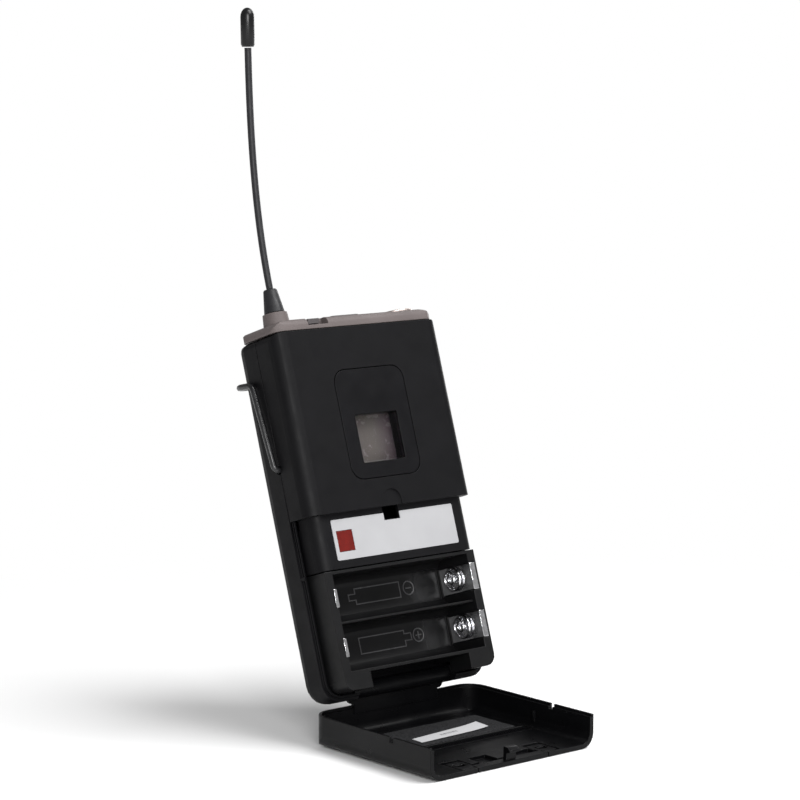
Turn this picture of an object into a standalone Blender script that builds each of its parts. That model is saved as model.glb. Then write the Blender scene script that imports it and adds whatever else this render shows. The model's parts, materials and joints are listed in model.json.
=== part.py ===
"""Wireless bodypack transmitter with its battery door open.

The door lies flat on the table and the housing leans back over it, held by the door's hinge.
World frame: +X to the right seen from the front, +Y to the back, +Z up, and the origin is the
centre of the door's flat outer face. Lengths below are in millimetres and become metres in
the meshes. Housing pieces are drawn in the housing's own frame: X across from the centre,
Y (depth) from the front face to the back, Z (height) up from the bottom face.
"""
import math
from math import cos, pi, radians, sin

import bmesh
import bpy
from mathutils import Matrix, Vector

MM = 0.001
GAP = 0.3                      # clearance between neighbouring pieces

# ---- Driving dimensions ----------------------------------------------------------------
LEAN = radians(17.75)          # the housing leans back from upright

HOUSING_W = 66.0
HOUSING_T = 22.0
HOUSING_H = 114.0
HALF_W = HOUSING_W / 2
WALL = 1.4
CORNER_R = 6.5                 # bottom corners, seen from the front
TOP_R = 2.4                    # top corners
FRONT_R = 4.5                  # rounding along the front's long edges
BACK_R = 4.6                   # rounding around the back face
PARTING = 11.0                 # depth of the seam between front and back shell
RIDGE = (31.2, 32.0)           # tongue of the back shell's rim, half widths
RIDGE_TOP = PARTING - 0.7
TAB_HEIGHT = 38.75             # a tab on each side of the rim enters a notch in the door
TAB_W = 1.1

HINGE_DEPTH = 15.5             # hinge axis in the housing frame
HINGE_HEIGHT = 2.6
FLAP_HALF = 19.4
BARREL_R = 2.6
PIN_R = 0.8
PIN_BORE = 1.0

DOOR_L = 56.5
DOOR_D = 10.4
DOOR_WALL = 1.5
REAR_R = 4.5                   # rounding under the door's rear edge
RABBET = 0.75
SHELF_TOP = DOOR_L + 0.15      # the front face steps back below this height, just clear of the shut door
SHELF_BOTTOM = 39.6
SHELF_DEPTH = 2.0
SHELF_HALF = 30.7

TRAY_HALF = 30.3
TRAY_TOP = SHELF_BOTTOM - GAP
TRAY_BOTTOM = 2.3
TRAY_FRONT = 2.5
TRAY_BACK = 20.1
CELL_DEPTH = 10.8
CELL_HEIGHTS = {"lower": 15.7, "upper": 31.0}
BAY_HALF = 7.3                 # half height of one battery bay
BAY_LEFT, BAY_RIGHT = -27.3, 27.2
BAY_FLOOR = 18.1
DIVIDER_FRONT = 4.2            # the wall between the bays stops short of the closed door's foam

PANEL = (27.6, 34.5, 4.5)      # display panel: width, height, corner radius
PANEL_HEIGHT = 83.1
WINDOW = (16.8, 15.2)
WINDOW_HEIGHT = 78.4

LABEL = (49.0, 12.6)
LABEL_HEIGHT = 48.4
SYNC = (6.1, 6.4)
SYNC_AT = (-20.1, 47.9)
CATCH_X = -0.3                 # latch catch, and the latch that enters it
CATCH_W = 6.4
CATCH_BOTTOM = 52.7
HOOK_REACH = 0.75              # how far the hook's nose stands past the door's front edge

CAP_TOP = 118.0
CAP_HALF = 32.2
CAP_WALL = 1.2
CAP_END = (6.5, 3.9)           # width and height of the slope at the cap's left and right ends
CAP_EDGE_R = 2.2               # rounding along its front and back edges
ANTENNA_X = -23.1
MID_DEPTH = HOUSING_T / 2
JACK_X = 25.0
JACK_TOP = 119.2
BUTTON_X = (-3.5, 8.4)
SLOT_X = (-18.8, -11.0)

CLIP_HEIGHT, CLIP_DEPTH = 73.0, 11.4   # the wire is held between the two shells
CLIP_R = 1.0
CLIP_HOLE_R = 1.3

SCREWS = {"screw_1": (-27.0, 99.0), "screw_2": (27.0, 99.0),
          "screw_3": (-27.0, 60.0), "screw_4": (27.0, 60.0)}

# ---- Materials: colour, roughness, metallic -------------------------------------------------
MATERIALS = {
    "black_plastic": ((0.017, 0.017, 0.018), 0.55, 0.0),
    "door_plastic": ((0.016, 0.016, 0.017), 0.5, 0.0),
    "tray_plastic": ((0.015, 0.015, 0.016), 0.45, 0.0),
    "cap_plastic": ((0.18, 0.15, 0.145), 0.55, 0.0),
    "button_plastic": ((0.05, 0.045, 0.045), 0.5, 0.0),
    "lcd": ((0.30, 0.29, 0.27), 0.3, 0.0),
    "clear_lens": ((0.8, 0.8, 0.8), 0.08, 0.0),
    "sync_red": ((0.16, 0.012, 0.009), 0.25, 0.0),
    "label_paper": ((0.58, 0.58, 0.59), 0.6, 0.0),
    "rubber": ((0.013, 0.013, 0.014), 0.5, 0.0),
    "contact_metal": ((0.62, 0.62, 0.63), 0.2, 1.0),
    "jack_metal": ((0.62, 0.55, 0.52), 0.3, 1.0),
    "pin_gold": ((0.75, 0.55, 0.25), 0.25, 1.0),
    "clip_wire": ((0.02, 0.02, 0.02), 0.35, 0.0),
    "steel": ((0.5, 0.5, 0.5), 0.3, 1.0),
    "foam": ((0.04, 0.04, 0.042), 0.9, 0.0),
    "circuit_board": ((0.02, 0.12, 0.05), 0.5, 0.0),
}


def make_materials():
    made = {}
    for name, (colour, roughness, metallic) in MATERIALS.items():
        material = bpy.data.materials.new(name)
        material.use_nodes = True
        shader = material.node_tree.nodes["Principled BSDF"]
        shader.inputs["Base Color"].default_value = (*colour, 1.0)
        shader.inputs["Roughness"].default_value = roughness
        shader.inputs["Metallic"].default_value = metallic
        material.diffuse_color = (*colour, 1.0)
        made[name] = material
    return made


# ---- Scene, collections and frames ------------------------------------------------------------
for old in list(bpy.data.objects):
    bpy.data.objects.remove(old, do_unlink=True)

parts = bpy.data.collections.new("bodypack_transmitter")
cutters = bpy.data.collections.new("cutters")
bpy.context.scene.collection.children.link(parts)
bpy.context.scene.collection.children.link(cutters)
materials = make_materials()

DOOR_REAR = DOOR_L / 2                                # world Y of the door's rear face
HINGE_Y = DOOR_REAR - HINGE_HEIGHT
HINGE_Z = HINGE_DEPTH
lean = Matrix.Rotation(-LEAN, 3, "X")
hinge_point = Vector((0.0, HINGE_Y, HINGE_Z))
housing_origin = hinge_point - lean @ Vector((0.0, HINGE_DEPTH, HINGE_HEIGHT))

housing = bpy.data.objects.new("housing_frame", None)
housing.location = housing_origin * MM
housing.rotation_euler = (-LEAN, 0.0, 0.0)
parts.objects.link(housing)

door = bpy.data.objects.new("door_frame", None)       # sits on the hinge axis
door.location = hinge_point * MM
parts.objects.link(door)


# ---- Helpers ----------------------------------------------------------------------------------
def add_object(name, mesh, frame, material=None, at=(0.0, 0.0, 0.0)):
    """A part when it has a material, and a cutter when it has none."""
    obj = bpy.data.objects.new(name, mesh)
    offset = -hinge_point if frame is door else Vector((0.0, 0.0, 0.0))
    obj.parent = frame
    obj.location = (Vector(at) + offset) * MM
    if material:
        mesh.materials.append(materials[material])
        parts.objects.link(obj)
    else:
        obj.display_type = "WIRE"
        obj.hide_render = True
        cutters.objects.link(obj)
    return obj


def to_mesh(bm, name, smooth=35.0):
    bmesh.ops.scale(bm, vec=(MM, MM, MM), verts=bm.verts)
    bmesh.ops.recalc_face_normals(bm, faces=bm.faces)
    mesh = bpy.data.meshes.new(name)
    bm.to_mesh(mesh)
    bm.free()
    mesh.shade_smooth()
    mesh.set_sharp_from_angle(angle=radians(smooth))
    return mesh


def rounded_outline(x0, x1, y0, y1, radii, steps=5):
    """Corner radii in the order lower left, lower right, upper right, upper left."""
    corners = [(x0, y0, 1, 1, pi), (x1, y0, -1, 1, 1.5 * pi),
               (x1, y1, -1, -1, 0.0), (x0, y1, 1, -1, 0.5 * pi)]
    points = []
    for (x, y, sx, sy, start), r in zip(corners, radii):
        if r <= 0:
            points.append((x, y))
            continue
        for i in range(steps + 1):
            a = start + 0.5 * pi * i / steps
            points.append((x + sx * r + r * cos(a), y + sy * r + r * sin(a)))
    return points


def prism_bmesh(points, axis, low, high, bm=None):
    """Extrudes a flat outline along one axis; the outline is in the other two, in order."""
    bm = bm or bmesh.new()
    place = {"X": lambda a, b: (low, a, b), "Y": lambda a, b: (a, low, b), "Z": lambda a, b: (a, b, low)}
    verts = [bm.verts.new(place[axis](a, b)) for a, b in points]
    face = bm.faces.new(verts)
    grown = bmesh.ops.extrude_face_region(bm, geom=[face])["geom"]
    moved = [g for g in grown if isinstance(g, bmesh.types.BMVert)]
    step = Vector([high - low if axis == letter else 0.0 for letter in "XYZ"])
    bmesh.ops.translate(bm, vec=step, verts=moved)
    return bm


def prism(name, points, axis, low, high, frame, material=None, at=(0, 0, 0)):
    return add_object(name, to_mesh(prism_bmesh(points, axis, low, high), name), frame, material, at)


def box(name, x, y, z, frame, material=None, at=(0, 0, 0)):
    bm = bmesh.new()
    bmesh.ops.create_cube(bm, size=1.0)
    size = (x[1] - x[0], y[1] - y[0], z[1] - z[0])
    middle = ((x[0] + x[1]) / 2, (y[0] + y[1]) / 2, (z[0] + z[1]) / 2)
    bmesh.ops.scale(bm, vec=size, verts=bm.verts)
    bmesh.ops.translate(bm, vec=middle, verts=bm.verts)
    return add_object(name, to_mesh(bm, name), frame, material, at)


def rod(name, start, end, r0, frame, material=None, r1=None, sides=16, at=(0, 0, 0)):
    """A straight cylinder or cone between two points."""
    start, end = Vector(start), Vector(end)
    bm = bmesh.new()
    bmesh.ops.create_cone(bm, cap_ends=True, segments=sides, radius1=r0,
                          radius2=r0 if r1 is None else r1, depth=(end - start).length)
    turn = (end - start).to_track_quat("Z", "Y").to_matrix().to_4x4()
    bmesh.ops.transform(bm, matrix=Matrix.Translation((start + end) / 2) @ turn, verts=bm.verts)
    return add_object(name, to_mesh(bm, name), frame, material, at)


def turned(name, profile, centre, frame, material, sides=20, tilt=0.0):
    """A profile of (radius, height) from top to bottom on the axis, spun about it."""
    bm = bmesh.new()
    verts = [bm.verts.new((r, 0.0, h)) for r, h in profile]
    edges = [bm.edges.new(pair) for pair in zip(verts, verts[1:])]
    bmesh.ops.spin(bm, geom=verts + edges, cent=(0, 0, 0), axis=(0, 0, 1), angle=2 * pi,
                   steps=sides, use_merge=True)
    bmesh.ops.remove_doubles(bm, verts=bm.verts, dist=1e-4)
    matrix = Matrix.Translation(centre) @ Matrix.Rotation(tilt, 4, "X")
    bmesh.ops.transform(bm, matrix=matrix, verts=bm.verts)
    return add_object(name, to_mesh(bm, name), frame, material)


def wire(name, points, radius, frame, material, at=(0, 0, 0), sides=2):
    """A round wire along the points, made a mesh so that its ends are closed."""
    curve = bpy.data.curves.new(name, "CURVE")
    curve.dimensions = "3D"
    curve.bevel_depth = radius * MM
    curve.bevel_resolution = sides
    curve.use_fill_caps = True
    spline = curve.splines.new("POLY")
    spline.points.add(len(points) - 1)
    for point, place in zip(spline.points, points):
        point.co = (*(Vector(place) * MM), 1.0)
    guide = bpy.data.objects.new(name + "_path", curve)
    cutters.objects.link(guide)
    evaluated = guide.evaluated_get(bpy.context.evaluated_depsgraph_get())
    mesh = bpy.data.meshes.new_from_object(evaluated)
    bpy.data.objects.remove(guide, do_unlink=True)
    bm = bmesh.new()
    bm.from_mesh(mesh)
    bmesh.ops.remove_doubles(bm, verts=bm.verts, dist=1e-6)
    bmesh.ops.recalc_face_normals(bm, faces=bm.faces)
    bm.to_mesh(mesh)
    bm.free()
    mesh.name = name
    mesh.materials.clear()
    mesh.shade_smooth()
    return add_object(name, mesh, frame, material, at)


def combine(target, tool, operation):
    modifier = target.modifiers.new(operation.lower() + "_" + tool.name, "BOOLEAN")
    modifier.operation = operation
    modifier.solver = "EXACT"
    modifier.object = tool


def cut(target, *tools):
    for tool in tools:
        combine(target, tool, "DIFFERENCE")


def join(target, *tools):
    for tool in tools:
        combine(target, tool, "UNION")


def arc(centre, radius, start, end, steps):
    """Points of a flat arc, angles in degrees."""
    angles = [radians(start + (end - start) * i / steps) for i in range(steps + 1)]
    return [(centre[0] + radius * cos(a), centre[1] + radius * sin(a)) for a in angles]


def housing_outline(inset):
    """The housing seen from the front, with its sides and bottom drawn in by an inset."""
    r = CORNER_R - inset
    half = HALF_W - inset
    top = max(TOP_R - inset, 0.5)
    return rounded_outline(-half, half, inset, HOUSING_H, (r, r, top, top))


def front_section(half, depth, radius, back):
    """A cross-section across X and depth, rounded along its front edges."""
    return rounded_outline(-half, half, depth, back, (radius, radius, 0, 0))


# ---- Back shell -------------------------------------------------------------------------------
def make_back_shell():
    bm = prism_bmesh(housing_outline(0.0), "Y", PARTING + 0.15, HOUSING_T)
    rim = [e for e in bm.edges if all(v.co.y > HOUSING_T - 0.01 for v in e.verts)
           and not all(v.co.z > HOUSING_H - 0.01 for v in e.verts)]
    bmesh.ops.bevel(bm, geom=rim, offset=BACK_R, segments=4, affect="EDGES", profile=0.5)
    shell = add_object("back_shell", to_mesh(bm, "back_shell"), housing, "black_plastic")

    tongue = prism("rim_tongue", housing_outline(HALF_W - RIDGE[1]), "Y", RIDGE_TOP, PARTING + 2, housing)
    join(shell, tongue)
    for side in (-1, 1):
        x = sorted((side * 32.2, side * (HALF_W - 0.05)))
        tab = (TAB_HEIGHT - TAB_W / 2, TAB_HEIGHT + TAB_W / 2)
        join(shell, box("rim_tab", x, (PARTING - 1.5, PARTING + 1.0), tab, housing))
    hollow = rounded_outline(-HALF_W + WALL + 0.4, HALF_W - WALL - 0.4, WALL + 0.4, HOUSING_H + 3,
                             (CORNER_R - 1.8, CORNER_R - 1.8, 0, 0))
    cut(shell, prism("back_hollow", hollow, "Y", 0.0, HOUSING_T - WALL, housing))

    for name, (x, z) in SCREWS.items():
        join(shell, rod(name + "_post", (x, 13.0, z), (x, HOUSING_T - 0.7, z), 3.0, housing))
    for side in (-1, 1):
        inner, outer = sorted((side * (FLAP_HALF + 0.8), side * (FLAP_HALF + 4.6)))
        join(shell, box("hinge_lug", (inner, outer), (13.2, 17.8), (0.7, 5.0), housing))

    flap_way = box("flap_way", (-FLAP_HALF - GAP, FLAP_HALF + GAP), (8.0, 18.95), (-3.0, 5.5), housing)
    pin_hole = rod("pin_hole", (-26, HINGE_DEPTH, HINGE_HEIGHT), (26, HINGE_DEPTH, HINGE_HEIGHT),
                   PIN_BORE, housing, sides=12)
    clip_hole = rod("clip_hole", (-40, CLIP_DEPTH, CLIP_HEIGHT), (40, CLIP_DEPTH, CLIP_HEIGHT),
                    CLIP_HOLE_R, housing, sides=12)
    cut(shell, flap_way, pin_hole, clip_hole)
    for name, (x, z) in SCREWS.items():
        cut(shell, rod(name + "_bore", (x, 10.0, z), (x, 24.0, z), 1.5, housing, sides=12))
        cut(shell, rod(name + "_sink", (x, 16.0, z), (x, 24.0, z), 2.5, housing))
    return shell


# ---- Front shell ------------------------------------------------------------------------------
def make_front_shell():
    back = PARTING - 0.15
    section = front_section(HALF_W, 0.0, FRONT_R, back)
    shell = prism("front_shell", section, "Z", SHELF_TOP, HOUSING_H, housing, "black_plastic")
    corners = rounded_outline(-HALF_W, HALF_W, SHELF_TOP - 5, HOUSING_H, (0, 0, TOP_R, TOP_R))
    combine(shell, prism("top_corners", corners, "Y", -2, back + 2, housing), "INTERSECT")
    shelf = front_section(SHELF_HALF, SHELF_DEPTH, 4.0, back)
    join(shell, prism("shelf_body", shelf, "Z", SHELF_BOTTOM, SHELF_TOP + 3, housing))

    inside = front_section(HALF_W - 1.55, 1.5, 3.0, back + 2)
    cut(shell, prism("upper_hollow", inside, "Z", SHELF_TOP + 1.5, HOUSING_H + 3, housing))
    shelf_inside = front_section(SHELF_HALF - 1.5, SHELF_DEPTH + 1.5, 2.5, back + 2)
    cut(shell, prism("shelf_hollow", shelf_inside, "Z", SHELF_BOTTOM - 3, SHELF_TOP + 3, housing))
    relief = front_section(HALF_W - RABBET, back - 0.8, 0, back + 2)
    cut(shell, prism("rim_relief", relief, "Z", SHELF_TOP - 3, HOUSING_H + 3, housing))

    cut(shell, rod("clip_hole_front", (-40, CLIP_DEPTH, CLIP_HEIGHT), (40, CLIP_DEPTH, CLIP_HEIGHT),
                   CLIP_HOLE_R, housing, sides=12))
    for name, (x, z) in SCREWS.items():
        join(shell, rod(name + "_boss", (x, 1.0, z), (x, 12.6, z), 2.6, housing))
    for name, (x, z) in SCREWS.items():
        cut(shell, rod(name + "_pilot", (x, 5.0, z), (x, 14.0, z), 1.3, housing, sides=12))

    w, h, r = (PANEL[0] / 2 + 0.25, PANEL[1] / 2 + 0.25, PANEL[2])
    opening = rounded_outline(-w, w, PANEL_HEIGHT - h, PANEL_HEIGHT + h, (r, r, r, r))
    cut(shell, prism("panel_opening", opening, "Y", -1, 3, housing))
    w, h = LABEL[0] / 2 + 0.2, LABEL[1] / 2 + 0.2
    pocket = rounded_outline(-w, w, LABEL_HEIGHT - h, LABEL_HEIGHT + h, (0.6,) * 4, steps=2)
    cut(shell, prism("label_pocket", pocket, "Y", 0, SHELF_DEPTH + 0.45, housing))
    w, h = SYNC[0] / 2 + GAP, SYNC[1] / 2 + GAP
    x, z = SYNC_AT
    cut(shell, box("sync_opening", (x - w, x + w), (0, 5), (z - h, z + h), housing))
    half = CATCH_W / 2
    # the hook enters below the step, and catches behind the step's underside
    cut(shell, box("catch_opening", (CATCH_X - half, CATCH_X + half), (SHELF_DEPTH - 0.5, 6.0),
                   (CATCH_BOTTOM, SHELF_TOP), housing))
    scoop = arc((CATCH_X, 58.2), half + 0.5, 0, 180, 8)
    scoop = [(CATCH_X + half + 0.5, 55.0)] + scoop + [(CATCH_X - half - 0.5, 55.0)]
    cut(shell, prism("thumb_scoop", scoop, "Y", -1, 0.5, housing))
    return shell


# ---- Battery tray -----------------------------------------------------------------------------
def bay_profile(centre):
    """Depth and height section of one bay, filleted where its walls meet the floor."""
    r = 4.0
    low, high = centre - BAY_HALF, centre + BAY_HALF
    lower = arc((BAY_FLOOR - r, low + r), r, -90, 0, 4)
    upper = arc((BAY_FLOOR - r, high - r), r, 0, 90, 4)
    return [(0.0, low)] + lower + upper + [(0.0, high)]


def make_battery_tray():
    outline = rounded_outline(-TRAY_HALF, TRAY_HALF, TRAY_BOTTOM, TRAY_TOP, (3.5, 3.5, 0, 0), steps=4)
    tray = prism("battery_tray", outline, "Y", TRAY_FRONT, TRAY_BACK, housing, "tray_plastic")
    for name, centre in CELL_HEIGHTS.items():
        cut(tray, prism(name + "_bay", bay_profile(centre), "X", BAY_LEFT, BAY_RIGHT, housing))
        well = (centre - 5.0, centre + 5.0)
        cut(tray, box(name + "_well", (16.9, BAY_RIGHT), (10.0, BAY_FLOOR + 0.8), well, housing))
        right = (centre - 4.5, centre + 4.5)
        cut(tray, box(name + "_plate_slot", (20.0, 28.0), (0.0, BAY_FLOOR), right, housing))
        cut(tray, box(name + "_flange_slot", (26.0, 29.7), (0.0, 3.0), right, housing))
        left = (centre - 3.2, centre + 3.2)
        cut(tray, box(name + "_left_slot", (-28.0, -20.0), (0.0, BAY_FLOOR), left, housing))
    divider = (CELL_HEIGHTS["lower"] + BAY_HALF - 0.5, CELL_HEIGHTS["upper"] - BAY_HALF + 0.5)
    cut(tray, box("divider_relief", (BAY_LEFT, BAY_RIGHT), (0.0, DIVIDER_FRONT), divider, housing))
    cut(tray, box("hinge_recess", (-FLAP_HALF - 0.6, FLAP_HALF + 0.6), (0, 30), (0, 7.4), housing))
    cut(tray, box("lug_recess", (-24.6, 24.6), (12.7, 30), (0, 6.0), housing))
    for side in (-1, 1):
        pocket = sorted((side * 21.2, side * 29.0))
        cut(tray, box("block_hollow", pocket, (4.2, 30), (3.4, 7.2), housing))
    chamfer = [(TRAY_FRONT - 1, TRAY_BOTTOM - 1), (TRAY_FRONT + 1.3, TRAY_BOTTOM - 1),
               (TRAY_FRONT - 1, TRAY_BOTTOM + 1.3)]
    cut(tray, prism("tray_chamfer", chamfer, "X", -40, 40, housing))
    return tray


def make_battery_contacts():
    for name, centre in CELL_HEIGHTS.items():
        back = BAY_FLOOR - 0.35
        bent = [(27.3, 2.25), (29.35, 2.25), (29.35, 2.6), (27.65, 2.6), (27.65, back), (27.3, back)]
        prism("contact_spring_" + name, bent, "Z", centre - 4.2, centre + 4.2, housing, "contact_metal")
        bent = [(-27.65, 2.9), (-26.5, 2.9), (-26.5, 3.25), (-27.3, 3.25), (-27.3, back), (-27.65, back)]
        prism("contact_flat_" + name, bent, "Z", centre - 2.85, centre + 2.85, housing, "contact_metal")
        turns, per_turn = 2.25, 14
        count = int(turns * per_turn)
        coil = []
        for i in range(count + 1):
            t = i / count
            radius = 3.2 - 2.0 * t
            a = 2 * pi * turns * t
            coil.append((26.8 - 2.4 * t, CELL_DEPTH + radius * cos(a), centre + radius * sin(a)))
        wire("contact_coil_" + name, coil, 0.4, housing, "contact_metal", sides=1)


# ---- Display, label and sync window -----------------------------------------------------------
def make_display():
    w, h, r = PANEL[0] / 2, PANEL[1] / 2, PANEL[2] - 0.2
    face = rounded_outline(-w, w, PANEL_HEIGHT - h, PANEL_HEIGHT + h, (r, r, r, r))
    panel = prism("display_panel", face, "Y", 0.0, 1.9, housing, "black_plastic")
    flange = rounded_outline(-w - 1.2, w + 1.2, PANEL_HEIGHT - h - 1.2, PANEL_HEIGHT + h + 1.2,
                             (r, r, r, r), steps=3)
    join(panel, prism("panel_flange", flange, "Y", 1.8, 2.5, housing))
    w, h = WINDOW[0] / 2, WINDOW[1] / 2
    frame = (WINDOW_HEIGHT - h - 1.0, WINDOW_HEIGHT + h + 1.0)
    join(panel, box("window_frame", (-w - 1.0, w + 1.0), (2.0, 4.4), frame, housing))
    way = rounded_outline(-w, w, WINDOW_HEIGHT - h, WINDOW_HEIGHT + h, (0.5,) * 4, steps=2)
    cut(panel, prism("window_way", way, "Y", -1, 6, housing))
    w, h = w - GAP, h - GAP
    pane = rounded_outline(-w, w, WINDOW_HEIGHT - h, WINDOW_HEIGHT + h, (0.4,) * 4, steps=2)
    prism("display_lens", pane, "Y", 0.4, 1.2, housing, "clear_lens")
    box("lcd_module", (-11.0, 11.0), (4.7, 6.6), (WINDOW_HEIGHT - 10, WINDOW_HEIGHT + 10), housing, "lcd")


def make_label():
    w, h = LABEL[0] / 2, LABEL[1] / 2
    top = LABEL_HEIGHT + h
    outline = rounded_outline(-w, w, LABEL_HEIGHT - h, top, (0.5,) * 4, steps=2)
    label = prism("channel_label", outline, "Y", SHELF_DEPTH - 0.1, SHELF_DEPTH + 0.15, housing, "label_paper")
    half = CATCH_W / 2
    cut(label, box("label_notch", (CATCH_X - half, CATCH_X + half), (0, 5),
                   (CATCH_BOTTOM - 0.3, 59), housing))
    x, z = SYNC_AT
    w, h = SYNC[0] / 2, SYNC[1] / 2
    cut(label, box("label_window", (x - w - 0.1, x + w + 0.1), (0, 5), (z - h - 0.1, z + h + 0.1), housing))
    box("sync_window", (x - w, x + w), (SHELF_DEPTH - 0.1, 3.6), (z - h, z + h), housing, "sync_red")
    box("sync_receiver", (x - 2.2, x + 2.2), (4.0, 7.0), (z - 2.4, z + 2.4), housing, "button_plastic")


# ---- Top cap and its controls -----------------------------------------------------------------
def make_top_cap():
    low = HOUSING_H + GAP
    front, back = 0.7, HOUSING_T - 0.6
    plan = rounded_outline(-CAP_HALF, CAP_HALF, front, back, (4.0, 4.0, 6.0, 6.0), steps=4)
    cap = prism("top_cap", plan, "Z", low, CAP_TOP, housing, "cap_plastic")
    width, height = CAP_END
    slope = [(CAP_HALF - width + width * cos(a), CAP_TOP - height + height * sin(a))
             for a in [0.5 * pi * i / 6 for i in range(7)]]
    slope = [(CAP_HALF, low - 5)] + slope
    ends = slope + [(-x, z) for x, z in reversed(slope)]
    combine(cap, prism("cap_ends", ends, "Y", front - 2, back + 2, housing), "INTERSECT")
    edges = rounded_outline(front, back, low - 5, CAP_TOP, (0, 0, CAP_EDGE_R, CAP_EDGE_R), steps=4)
    combine(cap, prism("cap_edges", edges, "X", -CAP_HALF - 2, CAP_HALF + 2, housing), "INTERSECT")
    collar = rod("antenna_collar", (ANTENNA_X, MID_DEPTH, CAP_TOP - 1.5), (ANTENNA_X, MID_DEPTH, 121.8),
                 4.4, housing, r1=3.9, sides=24)
    join(cap, collar)
    hollow = rounded_outline(-CAP_HALF + 2.2, CAP_HALF - 2.2, 2.9, HOUSING_T - 2.8, (2.0,) * 4, steps=2)
    cut(cap, prism("cap_hollow", hollow, "Z", low - 2, CAP_TOP - CAP_WALL, housing))
    slot_block = box("slot_block", (SLOT_X[0] - 1.0, SLOT_X[1] + 1.0), (2.4, 5.2), (low, CAP_TOP - 0.8), housing)
    join(cap, slot_block)
    cut(cap, box("switch_slot", SLOT_X, (-1, 4.2), (115.6, 120), housing))
    cut(cap, box("switch_slit", (-17.4, -12.0), (1.9, 3.3), (110, 117), housing))
    cut(cap, rod("jack_opening", (JACK_X, MID_DEPTH, 110), (JACK_X, MID_DEPTH, 124), 5.8, housing, sides=24))
    way = rounded_outline(BUTTON_X[0] - GAP, BUTTON_X[1] + GAP, 8.0 - GAP, 14.0 + GAP, (1.8,) * 4, steps=3)
    cut(cap, prism("button_opening", way, "Z", 110, 124, housing))
    cut(cap, rod("antenna_bore", (ANTENNA_X, MID_DEPTH, 110), (ANTENNA_X, MID_DEPTH, 124), 2.4, housing))
    return cap


def make_controls():
    slider = box("power_slider", (-18.4, -14.0), (1.2, 3.9), (115.9, 117.6), housing, "button_plastic")
    join(slider, box("slider_stem", (-17.1, -16.1), (2.2, 3.0), (111.9, 116.5), housing))
    box("power_switch_body", (-19.0, -10.0), (1.9, 4.9), (108.2, 111.6), housing, "contact_metal")
    face = rounded_outline(BUTTON_X[0], BUTTON_X[1], 8.0, 14.0, (1.5,) * 4, steps=3)
    button = prism("mute_button", face, "Z", 115.2, 119.2, housing, "button_plastic")
    foot = rounded_outline(BUTTON_X[0] - 0.9, BUTTON_X[1] + 0.9, 7.1, 14.9, (1.5,) * 4, steps=3)
    join(button, prism("button_foot", foot, "Z", 115.7, 116.5, housing))
    box("mute_switch", (-0.6, 5.4), (8.0, 12.6), (109.6, 114.0), housing, "button_plastic")


def make_mic_jack():
    ring = [(4.4, JACK_TOP), (5.3, JACK_TOP), (5.5, JACK_TOP - 0.2), (5.5, 108.6), (4.4, 108.6), (4.4, JACK_TOP)]
    turned("mic_jack_shell", ring, (JACK_X, MID_DEPTH, 0), housing, "jack_metal", sides=24)
    insert = rod("mic_jack_insert", (JACK_X, MID_DEPTH, 108.6), (JACK_X, MID_DEPTH, 112.2), 4.05,
                 housing, "button_plastic", sides=20)
    for i in range(4):
        a = radians(45 + 90 * i)
        x, y = JACK_X + 1.9 * cos(a), MID_DEPTH + 1.9 * sin(a)
        cut(insert, rod("pin_bore", (x, y, 106), (x, y, 114), 0.75, housing, sides=8))
        rod(f"mic_pin_{i + 1}", (x, y, 107.4), (x, y, 114.4), 0.45, housing, "pin_gold", sides=8)


# ---- Antenna ----------------------------------------------------------------------------------
BOOT_BASE, BOOT_TOP = 122.1, 129.5
WHIP_LENGTH = 75.4
WHIP_LEAN_END = radians(-16.7)  # the whip has taken a forward set: lean of its end
TIP_LENGTH = 12.1


def whip_path(count=22):
    """Centre line from the boot's top, bending forward fastest near its root."""
    point = Vector((ANTENNA_X, MID_DEPTH, BOOT_TOP + GAP))
    points = [point.copy()]
    step = WHIP_LENGTH / count
    for i in range(count):
        t = (i + 0.5) / count
        a = WHIP_LEAN_END * (1 - (1 - 0.8 * t) ** 2)
        point = point + Vector((0.0, sin(a), cos(a))) * step
        points.append(point.copy())
    return points


def make_antenna():
    boot = [(0, BOOT_TOP), (1.9, BOOT_TOP), (2.2, BOOT_TOP - 0.4), (3.25, BOOT_BASE), (0, BOOT_BASE)]
    turned("antenna_boot", boot, (ANTENNA_X, MID_DEPTH, 0), housing, "rubber")
    ferrule = [(0, BOOT_BASE - GAP), (2.0, BOOT_BASE - GAP), (2.0, 112.5), (0, 112.5)]
    turned("antenna_ferrule", ferrule, (ANTENNA_X, MID_DEPTH, 0), housing, "jack_metal", sides=12)
    path = whip_path()
    wire("antenna_whip", path, 1.1, housing, "rubber")
    r = 2.2
    bullet = [(r * sin(a), TIP_LENGTH - r * 1.3 * (1 - cos(a)))
              for a in [0.5 * pi * i / 5 for i in range(6)]]
    bullet = bullet + [(r, 0.8), (r - 0.35, 0.0), (0, 0.0)]
    end = path[-1]
    turned("antenna_tip", bullet, end + Vector((0, sin(WHIP_LEAN_END), cos(WHIP_LEAN_END))) * GAP,
           housing, "rubber", sides=16, tilt=-WHIP_LEAN_END)


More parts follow.
